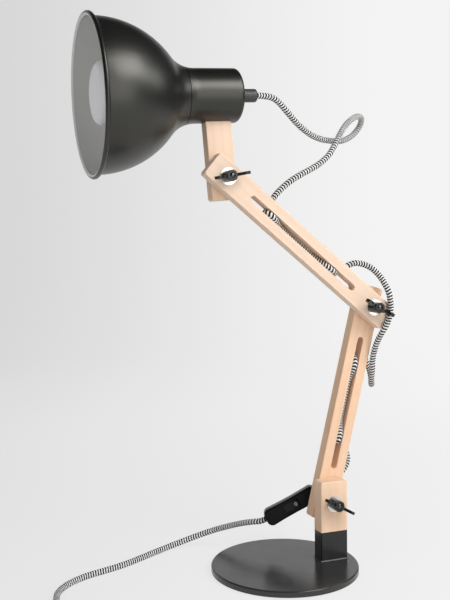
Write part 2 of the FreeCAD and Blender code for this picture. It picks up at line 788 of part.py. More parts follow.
seat_x = val("stick_reach + seat_gap") - math.sqrt((neck_radius - wall) ** 2 - val("screw_head_radius") ** 2)
tip_x = seat_x - val("wood_screw_length")
head_x = seat_x + val("screw_head_rise")
stick_screw = body("stick_screw")
sk = sketch(stick_screw)
outline(sk, [(tip_x, 0), (tip_x + 2.5 * val("wood_screw_radius"), "wood_screw_radius"),
             (seat_x, "wood_screw_radius"), (seat_x, "screw_head_radius"),
             (head_x, "screw_head_radius * 0.6", "screw_head_radius * 1.3"), (head_x, 0)])
turn(stick_screw, sk, "H_Axis")
stick_screw.Placement = laid(V(head_pivot.x, rear_front + val("plank_thick") / 2, head_pivot.z), stick_way)

# ---------------------------------------------------------------- inline switch

switch_mid = V(29.35, 45.0, 55.55)
switch_way = V(-55.5, 18.0, -30.9).normalize()
switch_face = V(-0.384, -0.918, 0.102)
switch_frame = FreeCAD.Placement(switch_mid, FreeCAD.Rotation(switch_way, V(0, 0, 0), switch_face, "XZY"))
switch_high = switch_mid - switch_way * val("switch_length / 2")
switch_low = switch_mid + switch_way * val("switch_length / 2")
corner_u = val("switch_length / 2")
corner_v = val("switch_width / 2")
waist = val("switch_waist")
waist_radius = (corner_u ** 2 + waist ** 2) / (2 * waist)
hollow_width = "switch_width - 2 * (switch_waist + switch_wall)"
tie_u = "(switch_length / 2 - tie_setback)"


def switch_half(label, way):
    """Half shell, split at local z = 0, hollow inside and slightly waisted."""
    item = body(label)
    sk = sketch(item)
    outline(sk, [(corner_u, -corner_v, -waist_radius), (corner_u, corner_v),
                 (-corner_u, corner_v, -waist_radius), (-corner_u, -corner_v)])
    pad(item, sk, "switch_thick / 2", Reversed=way < 0)
    soften(item, lambda p, e: near(abs(p.x), corner_u) and near(abs(p.y), corner_v), "switch_corner")
    rim = way * val("switch_thick") / 2
    soften(item, lambda p, e: near(p.z, rim), "switch_edge")
    sk = sketch(item)
    rectangle(sk, 0, 0, "switch_length - 2 * switch_end_wall", hollow_width)
    pocket(item, sk, "switch_thick / 2 - switch_wall", Reversed=way > 0)
    return item


switch_back = switch_half("switch_back", -1)
sk = sketch(switch_back)
for side in (-1, 1):
    circle(sk, "%d * %s" % (side, tie_u), 0, "tie_radius + pin_fit")
pocket(switch_back, sk, "switch_thick")
switch_front = switch_half("switch_front", 1)
sk = sketch(switch_front, lift="switch_thick / 2")
stadium(sk, 0, 0, "recess_length - recess_width", "recess_width")
pocket(switch_front, sk, "recess_depth")
sk = sketch(switch_front, lift="switch_thick / 2")
rectangle(sk, 0, 0, "rocker_length + 2 * rocker_fit", "rocker_width + 2 * rocker_fit")
pocket(switch_front, sk, "switch_thick / 2")
switch_back.Placement = switch_frame
switch_front.Placement = switch_frame

# The rocker turns about an axle across the switch. It lies pressed down at one end.
rocker = body("switch_rocker")
axle_z = "switch_thick / 2 - recess_depth - axle_drop"
sk = sketch(rocker, "XZ_Plane")
lean = math.tan(math.radians(val("rocker_throw")))
reach = val("rocker_length / 2") * math.cos(math.radians(val("rocker_throw"))) - val("rocker_fit")
face_z = val(axle_z + " + rocker_crown")
side_z = face_z - val("rocker_side")
keel_z = face_z - val("rocker_keel")
outline(sk, [(-reach, side_z), (-reach * 0.5, keel_z), (reach * 0.5, keel_z),
             (reach, side_z), (reach, face_z + reach * lean * 0.9), (0, face_z),
             (-reach, face_z + reach * lean * 0.9)])
pad(rocker, sk, "rocker_width", Midplane=True)
rocker_place = FreeCAD.Placement(V(0, 0, 0), FreeCAD.Rotation(V(0, 1, 0), val("rocker_throw")),
                                 V(0, 0, val(axle_z)))
rocker.Placement = switch_frame.multiply(rocker_place)

axle = body("rocker_axle")
sk = sketch(axle, "XZ_Plane")
circle(sk, 0, axle_z, "axle_radius")
pad(axle, sk, hollow_width, Midplane=True)
axle.Placement = switch_frame
sk = sketch(rocker, "XZ_Plane")
circle(sk, 0, axle_z, "axle_radius + pin_fit")
pocket(rocker, sk, "switch_width", Midplane=True)

tie_screws = []
for side in (-1, 1):
    tie = doc.addObject("Part::Cylinder", "switch_tie")
    tie.setExpression("Radius", bind("tie_radius"))
    tie.setExpression("Height", bind("switch_thick / 2"))
    spot = V(side * val(tie_u), 0, -val("switch_thick / 2"))
    tie.Placement = switch_frame.multiply(FreeCAD.Placement(spot, FreeCAD.Rotation()))
    tie_screws.append(tie)
switch_screws = doc.addObject("Part::Compound", "switch_screws")
switch_screws.Links = tie_screws

# ---------------------------------------------------------------- mains lead


def lead(label, points):
    """Round cord along straight runs joined by tangent arcs through hand-set points."""
    spots = [V(*p) if isinstance(p, tuple) else p for p in points]
    runs = [(b - a).Length for a, b in zip(spots, spots[1:])]
    edges = []
    at = spots[0]
    total = 0.0
    for i in range(1, len(spots) - 1):
        come = (spots[i] - spots[i - 1]).normalize()
        go = (spots[i + 1] - spots[i]).normalize()
        bend = come.getAngle(go)
        cut = 0.45 * min(runs[i - 1], runs[i])
        radius = cut / math.tan(bend / 2)
        first = spots[i] - come * cut
        last = spots[i] + go * cut
        middle = spots[i] + (go - come).normalize() * (radius / math.cos(bend / 2) - radius)
        edges.append(Part.LineSegment(at, first).toShape())
        edges.append(Part.Arc(first, middle, last).toShape())
        total += (first - at).Length + radius * bend
        at = last
    edges.append(Part.LineSegment(at, spots[-1]).toShape())
    total += (spots[-1] - at).Length
    path = Part.Wire(edges)
    thick = val("cord_radius")
    section = Part.Wire([Part.Circle(spots[0], spots[1] - spots[0], thick).toShape()])
    item = doc.addObject("Part::Feature", label)
    item.Shape = path.makePipeShell([section], True, False)
    share = item.Shape.Volume / (math.pi * thick * thick * total)
    print(label, "length", round(total, 1), "volume share", round(share, 4))
    return item


def along_slot(pivot, degrees, along, depth, aside=0.0):
    """Point by a slot: its distance from the plank's pivot, its Y and how far it lies off the middle."""
    way = heading(degrees)
    return at_depth(pivot + way * along + heading(degrees - 90) * aside, depth)


upper_way = 180 - val("upper_rise")
lower_way = 90 - val("lower_lean")
upper_mid = front_back - val("plank_thick") / 2
lower_mid = rear_front + val("plank_thick") / 2
forward = V(0, -0.913, 0)
slant = 0.407
neck_axis = heading(neck_way)
exit_point = neck_frame.multVec(V(-val("gland_length"), 0, 0))


def by_upper(along, depth, aside=0.0):
    return along_slot(elbow_pivot, upper_way, along, depth, aside)


def by_lower(along, depth, aside=0.0):
    return along_slot(base_pivot, lower_way, along, depth, aside)


# The lead passes through each slot at a slant and lies inside it between the two places.
seam_top = by_upper(168.0, upper_mid)
seam_low = by_upper(56.0, upper_mid)
seam_arm = by_lower(168.0, lower_mid)
seam_post = by_lower(60.0, lower_mid)
into_top = forward - heading(upper_way) * slant
out_low = -forward - heading(upper_way) * slant
into_arm = forward - heading(lower_way) * slant
out_post = -forward - heading(lower_way) * slant
head_loop = lead("cord_head_loop", [
    exit_point, exit_point - neck_axis * 11, (0.5, 12.0, 509.5), (14.5, 15.5, 497.5),
    (29.4, 21.0, 485.5), (44.8, 27.0, 477.3), (61.1, 34.0, 472.5), (78.1, 40.0, 471.3),
    (96.5, 45.5, 471.8), (112.5, 49.0, 478.5), (121.0, 46.0, 489.0), (119.5, 36.5, 498.0),
    (108.0, 26.5, 499.0), (94.0, 19.5, 492.5), (81.9, 14.9, 481.0), (73.4, 13.0, 467.0),
    (64.2, 12.5, 451.4), (49.8, 12.0, 440.2), (33.6, 12.0, 432.0), (18.0, 13.0, 423.6),
    (5.5, 15.5, 413.0), (-2.4, 16.5, 404.1), by_upper(167.0, 19.0, 10.0),
    seam_top - into_top * 17.2, seam_top])
upper_run = lead("cord_upper_arm", [
    seam_top, seam_top + into_top * 7.0, by_upper(159.3, -12.2), by_upper(148.5, -8.8),
    by_upper(136.0, -2.0), by_upper(116.0, 0.1), by_upper(96.0, 0.1), by_upper(81.0, -2.6),
    by_upper(71.5, -9.6), by_upper(64.5, -12.6), seam_low - out_low * 7.0, seam_low])
elbow_loop = lead("cord_elbow_loop", [
    seam_low, seam_low + out_low * 17.2, by_upper(46.2, 18.0, 12.0), by_upper(43.6, 14.0, 25.5),
    (95.4, 13.0, 332.6), (104.2, 11.0, 331.4), (112.6, 7.5, 327.4), (117.8, 3.0, 321.5),
    (120.8, -2.5, 314.9), (122.6, -8.5, 306.9), (124.0, -13.0, 299.3), (125.0, -14.0, 290.6),
    (125.6, -14.0, 281.5), (124.0, -14.0, 272.4), (120.8, -14.0, 264.6), (116.6, -12.5, 257.0),
    (113.4, -7.5, 247.5), (111.4, -3.0, 236.5), (110.6, 0.5, 224.5), (112.0, 4.0, 212.5),
    (115.6, 10.0, 201.6), (121.0, 19.0, 195.3), (125.6, 28.5, 197.5), (127.4, 35.0, 206.5),
    (122.5, 38.5, 221.5), by_lower(174.0, 38.5, 13.0), seam_arm - into_arm * 18.0, seam_arm])
lower_run = lead("cord_lower_arm", [
    seam_arm, seam_arm + into_arm * 7.0, by_lower(158.8, 4.8), by_lower(148.5, 7.8),
    by_lower(134.5, 11.3), by_lower(112.0, 11.5), by_lower(90.0, 11.3), by_lower(77.0, 8.6),
    by_lower(68.3, 5.2), seam_post - out_post * 7.0, seam_post])
post_run = lead("cord_post_run", [
    seam_post, seam_post + out_post * 18.0, (81.0, 31.0, 122.5), (93.2, 30.0, 116.0),
    (94.8, 29.5, 101.5), (84.5, 31.0, 88.5), switch_high - switch_way * 14.0, switch_high])
coil_x = -214.0
coil_y = -104.0
coil_mean = val("coil_radius")
coil_stub = val("coil_stub")
lift = 0.3
coil_low = val("cord_radius") + lift
coil_top = val("cord_radius * (2 * coil_layers - 1)") + lift
table_run = lead("cord_table", [
    switch_low, switch_low + switch_way * 6.0, (-12.0, 60.5, 36.6), (-22.0, 70.5, 33.2),
    (-33.5, 83.5, 27.3), (-47.0, 97.0, 20.2), (-63.0, 105.5, 13.5), (-84.5, 107.5, 7.5),
    (-108.5, 101.0, 4.5), (-132.0, 89.0, 3.6), (-157.0, 73.5, 3.6), (-181.0, 63.5, 3.6),
    (-208.0, 54.5, 3.6), (-229.5, 40.0, 3.6), (-243.5, 21.0, 3.6), (-248.0, -2.0, 3.6),
    (-250.5, -27.0, 3.6), (coil_x - coil_mean, -53.0, coil_low),
    (coil_x - coil_mean, coil_y + coil_stub, coil_low)])

coil = body("cord_coil")
sk = sketch(coil, "XZ_Plane")
coil_high = "(2 * cord_radius * coil_layers + %s)" % lift
inner_u = "coil_radius - cord_radius - coil_slack"
outer_u = "coil_radius + cord_radius + coil_slack"
low_v = "%s - coil_slack" % lift
high_v = "%s + coil_slack" % coil_high
outline(sk, [(inner_u, "cord_radius"), (inner_u + " + cord_radius", low_v, "1.05 * cord_radius"),
             (outer_u + " - cord_radius", low_v), (outer_u, "cord_radius", "1.05 * cord_radius"),
             (outer_u, coil_high + " - cord_radius"),
             (outer_u + " - cord_radius", high_v, "1.05 * cord_radius"),
             (inner_u + " + cord_radius", high_v),
             (inner_u, coil_high + " - cord_radius", "1.05 * cord_radius")])
turn(coil, sk, "V_Axis")
sk = sketch(coil, "XZ_Plane")
circle(sk, "-coil_radius", coil_low, "cord_radius")
pad(coil, sk, "coil_stub", Reversed=True)
sk = sketch(coil, "YZ_Plane")
circle(sk, "-coil_radius", coil_top, "cord_radius")
pad(coil, sk, "coil_stub")
coil.Placement = FreeCAD.Placement(V(coil_x, coil_y, 0), FreeCAD.Rotation())

plug_y = -130.0
plug_x = -128.0
plug_z = val("plug_thick") / 2 + lift
tail_x = coil_x + coil_stub
tail_y = coil_y - coil_mean
tail = lead("cord_tail", [
    (tail_x, tail_y, coil_top), (tail_x + 12, tail_y, coil_top), (tail_x + 24.5, tail_y + 2, 11.6),
    (tail_x + 37, plug_y - 3.5, 7.6), (plug_x - 12.5, plug_y, plug_z), (plug_x, plug_y, plug_z)])

plug = body("plug_body")
sk = sketch(plug)
outline(sk, [(0, "-plug_nose / 2"), ("plug_taper", "-plug_width / 2"),
             ("plug_length", "-plug_width / 2"), ("plug_length", "plug_width / 2"),
             ("plug_taper", "plug_width / 2"), (0, "plug_nose / 2")])
pad(plug, sk, "plug_thick", Midplane=True)
soften(plug, lambda p, e: near(p.z, 0), "plug_edge * 1.6")
soften(plug, lambda p, e: near(abs(p.z), val("plug_thick") / 2), "plug_edge")
sk = sketch(plug)
outline(sk, [("-relief_length", 0), ("-relief_length", "cord_radius + relief_tip"),
             (1, "cord_radius + relief_root"), (1, 0)])
turn(plug, sk, "H_Axis")
plug_frame = FreeCAD.Placement(V(plug_x + val("relief_length"), plug_y, plug_z), FreeCAD.Rotation())
plug.Placement = plug_frame

pins = []
for side in (-1, 1):
    pin = doc.addObject("Part::Cylinder", "plug_pin")
    pin.setExpression("Radius", bind("pin_radius"))
    pin.setExpression("Height", bind("pin_length"))
    spot = V(val("plug_length"), side * val("pin_pitch") / 2, 0)
    pin.Placement = plug_frame.multiply(FreeCAD.Placement(spot, FreeCAD.Rotation(V(0, 1, 0), 90)))
    pins.append(pin)
plug_pins = doc.addObject("Part::Compound", "plug_pins")
plug_pins.Links = pins

# ---------------------------------------------------------------- check and write

doc.recompute()
kept = [pad_disc, disc, sleeve, post, sleeve_screws, lower_arm, upper_arm, stick] + hardware
kept += [cup, shade, gland, nipple, lock_nut, holder, shell, spring, bulb_cap, bulb, stick_screw]
kept += [switch_back, switch_front, rocker, axle, switch_screws]
kept += [head_loop, upper_run, elbow_loop, lower_run, post_run, table_run, coil, tail, plug, plug_pins]
faults = [o.Name for o in doc.Objects if "Invalid" in o.State or "Error" in o.State]
for item in kept:
    if item.Shape.isNull() or not item.Shape.isValid() or not item.Shape.Solids:
        faults.append(item.Label)
if faults:
    raise RuntimeError("faulty objects: " + ", ".join(faults))
os.makedirs("parts", exist_ok=True)
for item in kept:
    item.Shape.exportStep("parts/%s.step" % item.Label)
print(len(kept), "nodes written")
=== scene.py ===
import json
import math
from itertools import accumulate

import bmesh
import bpy
from mathutils import Matrix, Vector


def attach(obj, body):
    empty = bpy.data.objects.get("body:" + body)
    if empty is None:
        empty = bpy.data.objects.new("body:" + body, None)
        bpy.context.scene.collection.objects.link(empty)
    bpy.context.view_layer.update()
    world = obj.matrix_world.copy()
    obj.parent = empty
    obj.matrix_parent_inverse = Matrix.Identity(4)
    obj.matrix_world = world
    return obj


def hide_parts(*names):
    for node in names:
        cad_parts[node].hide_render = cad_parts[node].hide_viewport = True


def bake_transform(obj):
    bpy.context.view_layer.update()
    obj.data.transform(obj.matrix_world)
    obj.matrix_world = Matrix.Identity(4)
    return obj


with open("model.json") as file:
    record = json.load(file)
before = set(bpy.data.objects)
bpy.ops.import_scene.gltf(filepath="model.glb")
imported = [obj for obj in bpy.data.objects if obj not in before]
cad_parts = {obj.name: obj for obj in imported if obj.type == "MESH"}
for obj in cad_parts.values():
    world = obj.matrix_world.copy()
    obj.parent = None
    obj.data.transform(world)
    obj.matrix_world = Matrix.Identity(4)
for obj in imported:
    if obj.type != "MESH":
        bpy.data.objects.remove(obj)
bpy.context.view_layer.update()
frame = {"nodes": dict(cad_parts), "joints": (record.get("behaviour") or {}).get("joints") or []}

MM = 0.001
nodes = frame["nodes"]
joints = {joint["name"]: joint for joint in frame["joints"]}


def pivot(name):
    return Vector(joints[name]["pos_m"])


def link(item):
    bpy.context.scene.collection.objects.link(item)
    return item


def mesh_object(name, mesh, material):
    """An object made of a bmesh, which is used up."""
    data = bpy.data.meshes.new(name)
    mesh.to_mesh(data)
    mesh.free()
    data.materials.append(material)
    return link(bpy.data.objects.new(name, data))


# ---------------------------------------------------------------- camera

# The photograph's view: the camera's place, then how it turns from straight ahead, dips and rolls. The
# frame's width and the focal length are in pixels.
CAMERA_PLACE = Vector((-376.13, -827.72, 342.42)) * MM
CAMERA_TURN = math.radians(-20.565)
CAMERA_DIP = math.radians(2.997)
CAMERA_ROLL = math.radians(-0.724)
FRAME_WIDTH = 450
FOCAL_PIXELS = 847.03


def make_camera():
    data = bpy.data.cameras.new("camera")
    data.sensor_fit = "HORIZONTAL"
    data.sensor_width = 36.0
    data.lens = FOCAL_PIXELS * data.sensor_width / FRAME_WIDTH
    data.clip_start = 0.01
    ahead = Vector((-math.sin(CAMERA_TURN) * math.cos(CAMERA_DIP),
                    math.cos(CAMERA_TURN) * math.cos(CAMERA_DIP), -math.sin(CAMERA_DIP)))
    flat_right = Vector((math.cos(CAMERA_TURN), math.sin(CAMERA_TURN), 0))
    flat_up = flat_right.cross(ahead)
    right = flat_right * math.cos(CAMERA_ROLL) + flat_up * math.sin(CAMERA_ROLL)
    up = flat_up * math.cos(CAMERA_ROLL) - flat_right * math.sin(CAMERA_ROLL)
    turn = Matrix((right, up, -ahead)).transposed().to_4x4()
    camera = link(bpy.data.objects.new("camera", data))
    camera.matrix_world = Matrix.Translation(CAMERA_PLACE) @ turn
    bpy.context.scene.camera = camera


make_camera()

# ---------------------------------------------------------------- node helpers

# Nearly all of a noise lies between these two values.
NOISE_LOW = 0.3
NOISE_HIGH = 0.7


class Nodes:
    """Short calls for a node tree, most of which return a socket that the next call can take."""

    def __init__(self, tree):
        self.tree = tree

    def add(self, kind, inputs=(), **attributes):
        node = self.tree.nodes.new("ShaderNode" + kind)
        for key, value in attributes.items():
            setattr(node, key, value)
        for key, value in dict(inputs).items():
            self.feed(node.inputs[key], value)
        return node

    def feed(self, socket, value):
        if isinstance(value, bpy.types.NodeSocket):
            self.tree.links.new(value, socket)
        else:
            socket.default_value = value

    def math(self, operation, *values):
        return self.add("Math", enumerate(values), operation=operation).outputs[0]

    def vector_math(self, operation, *values):
        node = self.add("VectorMath", enumerate(values), operation=operation)
        return node.outputs["Value" if operation == "DOT_PRODUCT" else "Vector"]

    def place(self, turn=(0, 0, 0)):
        """Object coordinates in metres, turned."""
        source = self.add("TexCoord").outputs["Object"]
        return self.add("Mapping", {"Vector": source, "Rotation": turn}).outputs[0]

    def scaled(self, vector, scale):
        return self.add("Mapping", {"Vector": vector, "Scale": scale}).outputs[0]

    def noise(self, vector, scale, detail=3.0, roughness=0.5):
        """Noise whose scale is in waves per metre."""
        return self.add("TexNoise", {"Vector": vector, "Scale": scale, "Detail": detail,
                                     "Roughness": roughness}).outputs["Fac"]

    def spread(self, value, low, high, to_low=0.0, to_high=1.0):
        """A smooth step that turns low to high into another range."""
        return self.add("MapRange", {"Value": value, "From Min": low, "From Max": high, "To Min": to_low,
                                     "To Max": to_high}, interpolation_type="SMOOTHSTEP").outputs[0]

    def uneven(self, noise, low, high):
        """A noise drawn out over the range from low to high."""
        return self.spread(noise, NOISE_LOW, NOISE_HIGH, low, high)

    def mix(self, share, first, second):
        """A colour between two."""
        return self.add("Mix", {0: share, 6: first, 7: second}, data_type="RGBA").outputs[2]

    def mix_value(self, share, first, second):
        """A number between two."""
        return self.add("Mix", {0: share, 2: first, 3: second}, data_type="FLOAT").outputs[0]


class Shader(Nodes):
    """A material with one Principled shader."""

    def __init__(self, name, **settings):
        self.material = bpy.data.materials.new(name)
        self.material.use_nodes = True
        super().__init__(self.material.node_tree)
        self.principled = self.tree.nodes["Principled BSDF"]
        for key, value in settings.items():
            self.set(key.replace("_", " "), value)

    def set(self, name, value):
        self.feed(self.principled.inputs[name], value)

    def bump(self, height, distance, strength):
        node = self.add("Bump", {"Height": height, "Distance": distance, "Strength": strength})
        self.set("Normal", node.outputs[0])


def rgb(red, green, blue):
    return (red, green, blue, 1.0)


def grey(value):
    return rgb(value, value, value)


# ---------------------------------------------------------------- paint, plastic, metal and glass


def powder_coat(name, shade, roughness, grain=2600.0):
    """Satin paint with a fine orange-peel skin, slightly uneven in tone."""
    paint = Shader(name, Specular_IOR_Level=0.5)
    where = paint.place()
    cloud = paint.noise(where, 30.0)
    sheen = paint.noise(where, 90.0)
    skin = paint.noise(where, grain, detail=2.0)
    paint.set("Base Color", paint.mix(cloud, grey(shade * 0.88), grey(shade * 1.12)))
    paint.set("Roughness", paint.uneven(sheen, roughness - 0.03, roughness + 0.03))
    paint.bump(skin, distance=0.03 * MM, strength=0.2)
    return paint.material


def moulded(name, shade, roughness, grain=3200.0, specular=0.4):
    """Spark-textured plastic."""
    plastic = Shader(name, Specular_IOR_Level=specular)
    where = plastic.place()
    cloud = plastic.noise(where, 60.0)
    speck = plastic.noise(where, grain, detail=2.0)
    plastic.set("Base Color", plastic.mix(cloud, grey(shade * 0.85), grey(shade * 1.15)))
    plastic.set("Roughness", plastic.uneven(speck, roughness - 0.05, roughness + 0.06))
    plastic.bump(speck, distance=0.04 * MM, strength=0.4)
    return plastic.material


def metal(name, colour, roughness):
    """Plated or bare metal with faint handling marks."""
    plate = Shader(name, Metallic=1.0)
    where = plate.place()
    smear = plate.noise(where, 220.0, detail=4.0, roughness=0.65)
    deep = rgb(*(0.82 * part for part in colour[:3]))
    plate.set("Base Color", plate.mix(plate.spread(smear, 0.35, 0.75), colour, deep))
    plate.set("Roughness", plate.spread(smear, 0.25, 0.8, roughness - 0.04, roughness + 0.1))
    plate.bump(plate.noise(where, 900.0), distance=0.03 * MM, strength=0.25)
    return plate.material


def frosted_glass(name):
    """Reflector glass, frosted, which lets a little light through."""
    glass = Shader(name, Specular_IOR_Level=0.5, Transmission_Weight=0.12, IOR=1.45)
    where = glass.place()
    cloud = glass.noise(where, 40.0)
    frost = glass.noise(where, 4000.0, detail=2.0)
    glass.set("Base Color", glass.mix(cloud, rgb(0.80, 0.80, 0.82), rgb(0.86, 0.86, 0.88)))
    glass.set("Roughness", glass.uneven(cloud, 0.34, 0.42))
    glass.bump(frost, distance=0.02 * MM, strength=0.2)
    return glass.material


# ---------------------------------------------------------------- enamel of the cup and shade

# The neck's axis, from the back of the cup towards the shade.
NECK_BACK = Vector((-44.9, 11.3, 510.35)) * MM
NECK_DROOP = math.radians(3.4)
NECK_WAY = Vector((-math.cos(NECK_DROOP), 0, -math.sin(NECK_DROOP)))
# A face is white where its normal points at the axis: the spoke from the axis to it, measured along the
# normal, is then below this. A little under zero keeps the edge of the rim black.
INSIDE_SPOKE = -3.0 * MM


def enamelled(name):
    """Satin black outside and white enamel on the inner faces, told apart by the normal's way."""
    paint = Shader(name, Specular_IOR_Level=0.62, Specular_Tint=rgb(1.0, 0.985, 0.89), Coat_Weight=0.12,
                   Coat_Roughness=0.28)
    coords = paint.add("TexCoord").outputs
    here = paint.vector_math("SUBTRACT", coords["Object"], tuple(NECK_BACK))
    along = paint.vector_math("DOT_PRODUCT", here, tuple(NECK_WAY))
    on_axis = paint.add("VectorMath", {0: tuple(NECK_WAY), "Scale": along}, operation="SCALE").outputs[0]
    spoke = paint.vector_math("SUBTRACT", here, on_axis)
    facing = paint.vector_math("DOT_PRODUCT", spoke, coords["Normal"])
    inside = paint.math("LESS_THAN", facing, INSIDE_SPOKE)
    where = paint.place()
    cloud = paint.noise(where, 18.0)
    skin = paint.noise(where, 1800.0, detail=2.0)
    black = paint.mix(cloud, grey(0.006), grey(0.009))
    cream = paint.mix(cloud, rgb(0.60, 0.60, 0.585), rgb(0.66, 0.66, 0.645))
    paint.set("Base Color", paint.mix(inside, black, cream))
    paint.set("Roughness", paint.mix_value(inside, 0.36, 0.42))
    paint.bump(skin, distance=0.03 * MM, strength=0.3)
    return paint.material


# ---------------------------------------------------------------- rocker with its printed ring

ROCKER_PIVOT = pivot("rocker_tilt")
ROCKER_AXIS = Vector(joints["rocker_tilt"]["axis"]).normalized()
# The rocker's long way, towards the end that switches off, and the way square to its top face.
ROCKER_WAY = Vector((55.5, -18.0, 30.9)).normalized()
ROCKER_SQUARE = ROCKER_AXIS.cross(ROCKER_WAY)
# Faces that lie at least this square to it take the print.
TOP_FACE_SHARE = 0.8
# The ring's place from the pivot along the rocker, its radius and the width of its line.
RING_OFFSET = 5.4 * MM
RING_RADIUS = 1.5 * MM
RING_LINE = 0.7 * MM


def marked_rocker(name):
    """Moulded plastic with the usual printed ring at the end that switches off."""
    plastic = Shader(name, Specular_IOR_Level=0.3)
    coords = plastic.add("TexCoord").outputs
    here = plastic.vector_math("SUBTRACT", coords["Object"], tuple(ROCKER_PIVOT))
    along = plastic.vector_math("DOT_PRODUCT", here, tuple(ROCKER_WAY))
    along = plastic.math("SUBTRACT", along, RING_OFFSET)
    across = plastic.vector_math("DOT_PRODUCT", here, tuple(ROCKER_AXIS))
    squares = [plastic.math("MULTIPLY", way, way) for way in (along, across)]
    reach = plastic.math("SQRT", plastic.math("ADD", *squares))
    off_line = plastic.math("ABSOLUTE", plastic.math("SUBTRACT", reach, RING_RADIUS))
    on_line = plastic.math("LESS_THAN", off_line, RING_LINE / 2)
    outward = plastic.vector_math("DOT_PRODUCT", coords["Normal"], tuple(ROCKER_SQUARE))
    on_top = plastic.math("GREATER_THAN", plastic.math("ABSOLUTE", outward), TOP_FACE_SHARE)
    printed = plastic.math("MULTIPLY", on_line, on_top)
    speck = plastic.noise(plastic.place(), 3200.0, detail=2.0)
    black = plastic.mix(speck, grey(0.008), grey(0.012))
    plastic.set("Base Color", plastic.mix(printed, black, grey(0.55)))
    plastic.set("Roughness", plastic.uneven(speck, 0.26, 0.34))
    plastic.bump(speck, distance=0.03 * MM, strength=0.3)
    return plastic.material


# ---------------------------------------------------------------- pine

IN_PLANE = Vector((1, 0, 1))
LOWER_WAY = (pivot("upper_arm_swing") - pivot("lower_arm_swing")) * IN_PLANE
UPPER_WAY = (pivot("head_tilt") - pivot("upper_arm_swing")) * IN_PLANE
POST_WAY = Vector((0, 0, 1))
STICK_WAY = Vector((-0.078, 0, 0.997))
PALE_WOOD = Vector((0.87, 0.670, 0.520))
WARM_WOOD = Vector((0.80, 0.575, 0.405))
DARK_WOOD = Vector((0.60, 0.380, 0.225))
# What a full measure of warmth takes off the pale and the warm wood.
PALE_WARMTH = Vector((0.0, 0.08, 0.12))
WARM_WARMTH = Vector((0.0, 0.08, 0.10))
# Where in the tree a plank is cut from, for each metre of its shift.
CUT_WAY = Vector((1.0, 0.37, 0.71))
# The grain sways by this much across its own way, and its marks are drawn out along that way.
SWAY_SCALE = (6, 25, 25)
SWAY_REACH = (0.0, 12.0 * MM, 12.0 * MM)
RING_STRETCH = (0.06, 1.0, 1.0)
FIBRE_STRETCH = (0.03, 1.0, 1.0)
PATCH_STRETCH = (0.25, 1.0, 1.0)


def pine(name, way, tone, warmth, shift):
    """Sanded pale pine whose grain runs along the given direction in the XZ plane. A tone above one is
    painted light and a tone below one is painted shade, for how light falls on that plank.
    """
    wood = Shader(name, Specular_IOR_Level=0.35)
    turned = wood.place(turn=(0, math.atan2(way.z, way.x), 0))
    cut = wood.vector_math("ADD", turned, tuple(CUT_WAY * shift))
    sway = wood.add("TexNoise", {"Vector": wood.scaled(cut, SWAY_SCALE), "Scale": 1.0, "Detail": 2.0})
    bent = wood.vector_math("ADD", cut, wood.vector_math("MULTIPLY", sway.outputs["Color"], SWAY_REACH))
    rings = wood.add("TexWave", {"Vector": wood.scaled(bent, RING_STRETCH), "Scale": 34.0, "Distortion": 5.0,
                                 "Detail": 2.5, "Detail Scale": 1.2}, wave_type="BANDS", bands_direction="Z")
    fibre = wood.noise(wood.scaled(cut, FIBRE_STRETCH), 1500.0, detail=4.0, roughness=0.6)
    patch = wood.noise(wood.scaled(cut, PATCH_STRETCH), 45.0, detail=2.0)
    late = wood.spread(rings.outputs["Fac"], 0.55, 1.0)
    pale = rgb(*(PALE_WOOD - PALE_WARMTH * warmth) * tone)
    warm = rgb(*(WARM_WOOD - WARM_WARMTH * warmth) * tone)
    dark = rgb(*DARK_WOOD * tone)
    ground = wood.mix(wood.spread(patch, 0.35, 0.7, 0.0, 0.35), pale, warm)
    ringed = wood.mix(wood.math("MULTIPLY", late, 0.10), ground, dark)
    fine = wood.spread(fibre, 0.5, 0.78, 0.0, 0.13)
    wood.set("Base Color", wood.mix(fine, ringed, dark))
    wood.set("Roughness", wood.uneven(fibre, 0.5, 0.62))
    wood.bump(fibre, distance=0.12 * MM, strength=0.35)
    return wood.material


# ---------------------------------------------------------------- braid

BRAID_PITCH = 3.1 * MM
# Zigzag peaks round the lead, how many pitches deep they are, and the yarns round the lead.
BRAID_PEAKS = 2
BRAID_DEPTH = 0.45
BRAID_YARNS = 24
# Where in half a pitch the white stripe ends and the black one starts.
WHITE_END = 0.205
BLACK_START = 0.245


def braid(name):
    """Black and white zigzag braid. U is the length along the lead in metres and V the turn round it."""
    yarn = Shader(name, Specular_IOR_Level=0.2, Sheen_Weight=0.04, Sheen_Roughness=0.5)
    split = yarn.add("SeparateXYZ", {"Vector": yarn.add("TexCoord").outputs["UV"]}).outputs
    pitches = yarn.math("DIVIDE", split["X"], BRAID_PITCH)
    peaks = yarn.math("PINGPONG", yarn.math("MULTIPLY", split["Y"], 2 * BRAID_PEAKS), 1.0)
    phase = yarn.math("ADD", pitches, yarn.math("MULTIPLY", peaks, BRAID_DEPTH))
    dark = yarn.spread(yarn.math("PINGPONG", phase, 0.5), WHITE_END, BLACK_START)
    yarns = yarn.math("PINGPONG", yarn.math("MULTIPLY", split["Y"], BRAID_YARNS), 0.5)
    fuzz = yarn.noise(yarn.place(), 2600.0, roughness=0.7)
    white = yarn.mix(fuzz, rgb(0.70, 0.70, 0.69), rgb(0.95, 0.95, 0.94))
    black = yarn.mix(fuzz, grey(0.006), grey(0.030))
    height = yarn.math("ADD", yarn.math("MULTIPLY", yarns, 0.8), yarn.math("MULTIPLY", fuzz, 0.5))
    yarn.set("Base Color", yarn.mix(dark, white, black))
    yarn.set("Roughness", yarn.uneven(fuzz, 0.7, 0.9))
    yarn.bump(height, distance=0.25 * MM, strength=0.7)
    return yarn.material


# ---------------------------------------------------------------- dressing the nodes


